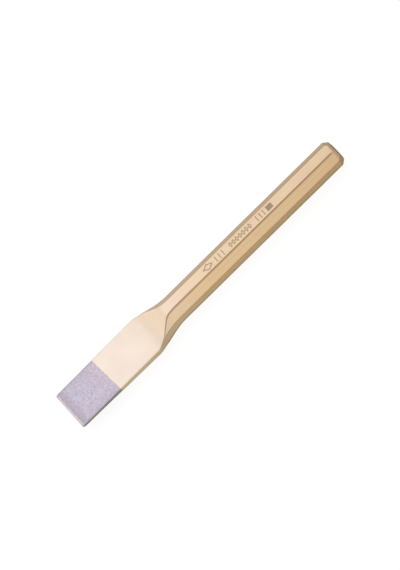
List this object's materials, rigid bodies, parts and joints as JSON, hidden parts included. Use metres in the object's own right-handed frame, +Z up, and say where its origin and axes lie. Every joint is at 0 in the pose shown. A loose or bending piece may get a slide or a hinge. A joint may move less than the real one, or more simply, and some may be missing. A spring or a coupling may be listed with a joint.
{
  "type": "flat cold chisel",
  "caption": "Flat cold chisel: a wide ground blade drawn out of octagonal bar, with a bevelled striking head and a gold lacquer coat behind the bare tip.",
  "frame": {"origin": "under the middle of the chisel's length and on its centre line, at the surface that it lies on", "axes": "+X along the shank from the cutting edge to the struck head, +Y across the blade, +Z up out of the blade's flat face"},
  "size_m": [0.24, 0.0302, 0.0182],
  "materials": {
    "ground_steel": "satin",
    "gold_lacquer": "satin"
  },
  "bodies": {
    "root": {"steel_forging": "ground_steel", "lacquer_coat": "gold_lacquer"}
  },
  "joints": []
}
